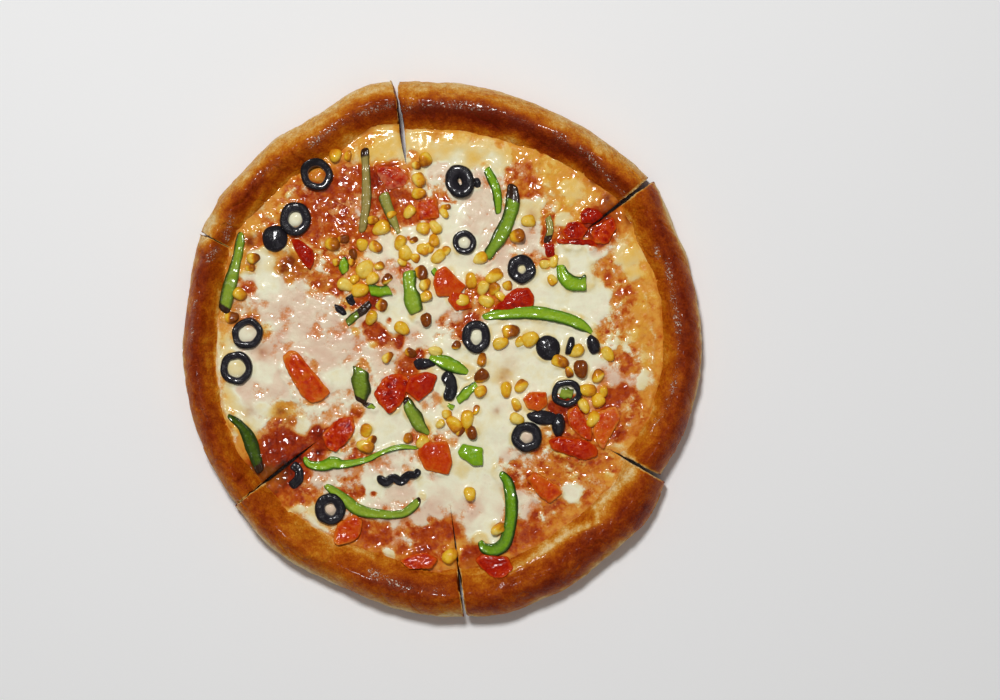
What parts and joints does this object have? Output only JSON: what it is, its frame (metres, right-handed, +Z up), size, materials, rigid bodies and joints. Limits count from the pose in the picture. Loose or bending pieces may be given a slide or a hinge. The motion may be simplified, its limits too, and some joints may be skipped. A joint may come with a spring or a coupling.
{
  "type": "pan pizza",
  "caption": "Round thick-crust pan pizza cut into wedge slices that lie in place, topped with melted cheese, olive rings, green pepper strips, tomato pieces and corn.",
  "frame": {"origin": "centre of the outline, on the flat underside that the pizza lies on", "axes": "+Z up, out of the toppings; +Y along the pizza's longest width, towards the cut that runs to the top of the picture; +X to the picture's right"},
  "size_m": [0.277, 0.2868, 0.0268],
  "materials": {
    "crust": "baked crust, golden to dark brown, slightly glossy on the crest",
    "bed": "melted cheese over tomato sauce, moist",
    "olive": "black olive, moist",
    "pepper": "green sweet pepper, moist",
    "tomato": "baked tomato, moist"
  },
  "bodies": {
    "root": {"dough_upper_left": "crust", "bed_upper_left": "bed", "dough_left": "crust", "bed_left": "bed", "dough_lower_left": "crust", "bed_lower_left": "bed", "dough_lower_right": "crust", "bed_lower_right": "bed", "dough_right": "crust", "bed_right": "bed", "dough_upper_right": "crust", "bed_upper_right": "bed", "olive_ring_1": "olive", "olive_ring_2": "olive", "olive_cap_3": "olive", "olive_ring_4": "olive", "olive_ring_5": "olive", "olive_ring_6": "olive", "olive_ring_7": "olive", "olive_ring_8": "olive", "olive_ring_9": "olive", "olive_cap_10": "olive", "olive_ring_12": "olive", "olive_ring_13": "olive", "olive_cap_14": "olive", "olive_ring_15": "olive", "olive_arc_17": "olive", "olive_wave_18": "olive", "pepper_strip_1": "pepper", "pepper_strip_2": "pepper", "pepper_strip_4": "pepper", "pepper_strip_5": "pepper", "pepper_crescent_6": "pepper", "pepper_arc_7": "pepper", "pepper_strip_10": "pepper", "pepper_fold_11": "pepper", "pepper_strip_12": "pepper", "pepper_strip_14": "pepper", "pepper_thin_15": "pepper", "pepper_arc_16": "pepper", "pepper_block_17": "pepper", "pepper_hook_18": "pepper", "pepper_rim_19": "pepper", "tomato_1": "tomato", "tomato_2": "tomato", "tomato_3": "tomato", "tomato_5": "tomato", "tomato_7": "tomato", "tomato_8": "tomato", "tomato_10": "tomato", "tomato_12": "tomato", "tomato_13": "tomato", "tomato_14": "tomato", "tomato_15": "tomato", "tomato_16": "tomato", "tomato_17": "tomato", "tomato_18": "tomato", "tomato_19": "tomato", "tomato_21": "tomato", "tomato_20": "tomato"}
  },
  "joints": []
}
